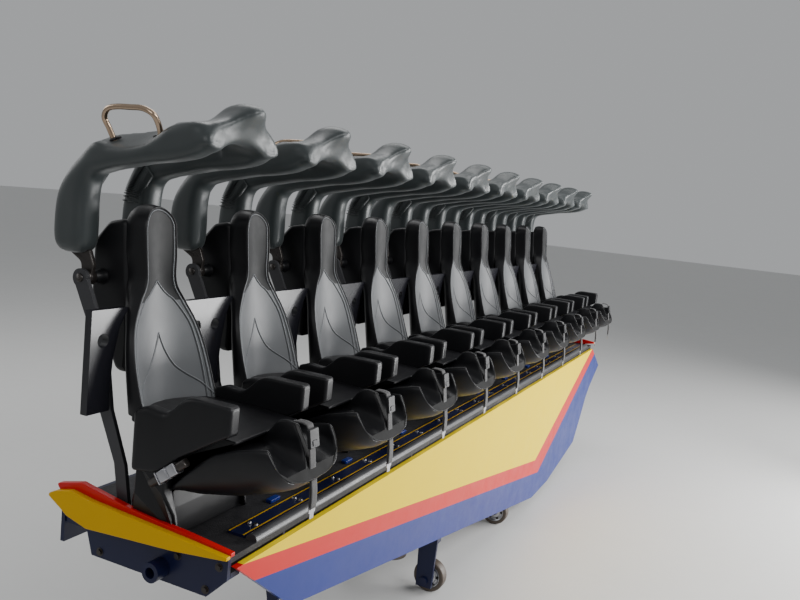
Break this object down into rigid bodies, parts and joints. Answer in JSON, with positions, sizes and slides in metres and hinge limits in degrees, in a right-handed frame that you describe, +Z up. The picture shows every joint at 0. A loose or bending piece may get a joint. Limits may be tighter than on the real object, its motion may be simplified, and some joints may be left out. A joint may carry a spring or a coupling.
{
  "type": "roller coaster car",
  "caption": "Wide roller coaster car with a row of moulded seats, raised over-shoulder restraints, a striped front panel and wheel carriers for tube track.",
  "frame": {"origin": "centre of the rear coupling eye's bore", "axes": "+Z up, -Y the way the riders face, +X along the row"},
  "size_m": [6.5375, 1.518, 2.655],
  "materials": {
    "deck": "anti-slip coating, matt",
    "navy_paint": "gloss paint",
    "bare_steel": "satin",
    "dark_steel": "satin paint",
    "yellow_paint": "gloss paint",
    "red_paint": "gloss paint",
    "blue_paint": "gloss paint",
    "seat_black": "moulded, satin gloss",
    "seat_grey": "moulded, soft sheen",
    "restraint_foam": "skinned foam, satin",
    "chrome": "polished",
    "webbing": "woven webbing",
    "buckle_black": "moulded",
    "wheel_tyre": "cast polyurethane tyre on a metal hub"
  },
  "bodies": {
    "root": {"deck_tray": "deck", "edge_strip": "navy_paint", "front_rail": "bare_steel", "fascia_yellow": "yellow_paint", "fascia_stripe": "red_paint", "fascia_blue": "blue_paint", "fascia_brackets": "dark_steel", "end_plates": "navy_paint", "end_sockets": "navy_paint", "rear_skirt": "navy_paint", "fins_outer": "yellow_paint", "fins_inner": "red_paint", "deck_frame": "navy_paint", "main_girder": "navy_paint", "coupling_bar": "dark_steel", "seat_pans": "seat_black", "hip_bolsters": "seat_black", "seat_backs": "seat_black", "back_insets": "seat_grey", "back_panels": "seat_black", "back_struts": "dark_steel", "seat_clamps": "bare_steel", "calf_shells": "seat_black", "calf_straps": "webbing", "strap_buckles": "buckle_black", "carrier_left": "navy_paint", "carrier_right": "navy_paint"},
    "restraint_1": {"restraint_pad_1": "restraint_foam", "restraint_frame_1": "chrome"},
    "restraint_2": {"restraint_pad_2": "restraint_foam", "restraint_frame_2": "chrome"},
    "restraint_3": {"restraint_pad_3": "restraint_foam", "restraint_frame_3": "chrome"},
    "restraint_4": {"restraint_pad_4": "restraint_foam", "restraint_frame_4": "chrome"},
    "restraint_5": {"restraint_pad_5": "restraint_foam", "restraint_frame_5": "chrome"},
    "restraint_6": {"restraint_pad_6": "restraint_foam", "restraint_frame_6": "chrome"},
    "restraint_7": {"restraint_pad_7": "restraint_foam", "restraint_frame_7": "chrome"},
    "restraint_8": {"restraint_pad_8": "restraint_foam", "restraint_frame_8": "chrome"},
    "restraint_9": {"restraint_pad_9": "restraint_foam", "restraint_frame_9": "chrome"},
    "restraint_10": {"restraint_pad_10": "restraint_foam", "restraint_frame_10": "chrome"},
    "run_wheel_1": {"run_wheel_1": "wheel_tyre"},
    "run_wheel_2": {"run_wheel_2": "wheel_tyre"},
    "run_wheel_3": {"run_wheel_3": "wheel_tyre"},
    "run_wheel_4": {"run_wheel_4": "wheel_tyre"},
    "guide_wheel_1": {"guide_wheel_1": "wheel_tyre"},
    "guide_wheel_2": {"guide_wheel_2": "wheel_tyre"},
    "guide_wheel_3": {"guide_wheel_3": "wheel_tyre"},
    "guide_wheel_4": {"guide_wheel_4": "wheel_tyre"},
    "stop_wheel_1": {"stop_wheel_1": "wheel_tyre"},
    "stop_wheel_2": {"stop_wheel_2": "wheel_tyre"},
    "stop_wheel_3": {"stop_wheel_3": "wheel_tyre"},
    "stop_wheel_4": {"stop_wheel_4": "wheel_tyre"}
  },
  "joints": [
    {"name": "restraint_1_pivot", "type": "hinge", "parent": "root", "child": "restraint_1", "pos_m": [-2.79, -0.505, 1.225], "axis": [1, 0, 0], "range_deg": [0, 64]},
    {"name": "restraint_2_pivot", "type": "hinge", "parent": "root", "child": "restraint_2", "pos_m": [-2.17, -0.505, 1.225], "axis": [1, 0, 0], "range_deg": [0, 64]},
    {"name": "restraint_3_pivot", "type": "hinge", "parent": "root", "child": "restraint_3", "pos_m": [-1.55, -0.505, 1.225], "axis": [1, 0, 0], "range_deg": [0, 64]},
    {"name": "restraint_4_pivot", "type": "hinge", "parent": "root", "child": "restraint_4", "pos_m": [-0.93, -0.505, 1.225], "axis": [1, 0, 0], "range_deg": [0, 64]},
    {"name": "restraint_5_pivot", "type": "hinge", "parent": "root", "child": "restraint_5", "pos_m": [-0.31, -0.505, 1.225], "axis": [1, 0, 0], "range_deg": [0, 64]},
    {"name": "restraint_6_pivot", "type": "hinge", "parent": "root", "child": "restraint_6", "pos_m": [0.31, -0.505, 1.225], "axis": [1, 0, 0], "range_deg": [0, 64]},
    {"name": "restraint_7_pivot", "type": "hinge", "parent": "root", "child": "restraint_7", "pos_m": [0.93, -0.505, 1.225], "axis": [1, 0, 0], "range_deg": [0, 64]},
    {"name": "restraint_8_pivot", "type": "hinge", "parent": "root", "child": "restraint_8", "pos_m": [1.55, -0.505, 1.225], "axis": [1, 0, 0], "range_deg": [0, 64]},
    {"name": "restraint_9_pivot", "type": "hinge", "parent": "root", "child": "restraint_9", "pos_m": [2.17, -0.505, 1.225], "axis": [1, 0, 0], "range_deg": [0, 64]},
    {"name": "restraint_10_pivot", "type": "hinge", "parent": "root", "child": "restraint_10", "pos_m": [2.79, -0.505, 1.225], "axis": [1, 0, 0], "range_deg": [0, 64]},
    {"name": "run_wheel_1_spin", "type": "hinge", "parent": "root", "child": "run_wheel_1", "pos_m": [-0.65, -1.035, -0.232], "axis": [1, 0, 0], "continuous": true},
    {"name": "run_wheel_2_spin", "type": "hinge", "parent": "root", "child": "run_wheel_2", "pos_m": [0.65, -1.035, -0.232], "axis": [1, 0, 0], "continuous": true},
    {"name": "run_wheel_3_spin", "type": "hinge", "parent": "root", "child": "run_wheel_3", "pos_m": [-0.65, -0.565, -0.232], "axis": [1, 0, 0], "continuous": true},
    {"name": "run_wheel_4_spin", "type": "hinge", "parent": "root", "child": "run_wheel_4", "pos_m": [0.65, -0.565, -0.232], "axis": [1, 0, 0], "continuous": true},
    {"name": "guide_wheel_1_spin", "type": "hinge", "parent": "root", "child": "guide_wheel_1", "pos_m": [-0.843, -0.918, -0.477], "axis": [0, 0, 1], "continuous": true},
    {"name": "guide_wheel_2_spin", "type": "hinge", "parent": "root", "child": "guide_wheel_2", "pos_m": [0.843, -0.918, -0.477], "axis": [0, 0, 1], "continuous": true},
    {"name": "guide_wheel_3_spin", "type": "hinge", "parent": "root", "child": "guide_wheel_3", "pos_m": [-0.843, -0.682, -0.477], "axis": [0, 0, 1], "continuous": true},
    {"name": "guide_wheel_4_spin", "type": "hinge", "parent": "root", "child": "guide_wheel_4", "pos_m": [0.843, -0.682, -0.477], "axis": [0, 0, 1], "continuous": true},
    {"name": "stop_wheel_1_spin", "type": "hinge", "parent": "root", "child": "stop_wheel_1", "pos_m": [-0.65, -1.13, -0.66], "axis": [1, 0, 0], "continuous": true},
    {"name": "stop_wheel_2_spin", "type": "hinge", "parent": "root", "child": "stop_wheel_2", "pos_m": [0.65, -1.13, -0.66], "axis": [1, 0, 0], "continuous": true},
    {"name": "stop_wheel_3_spin", "type": "hinge", "parent": "root", "child": "stop_wheel_3", "pos_m": [-0.65, -0.47, -0.66], "axis": [1, 0, 0], "continuous": true},
    {"name": "stop_wheel_4_spin", "type": "hinge", "parent": "root", "child": "stop_wheel_4", "pos_m": [0.65, -0.47, -0.66], "axis": [1, 0, 0], "continuous": true}
  ]
}
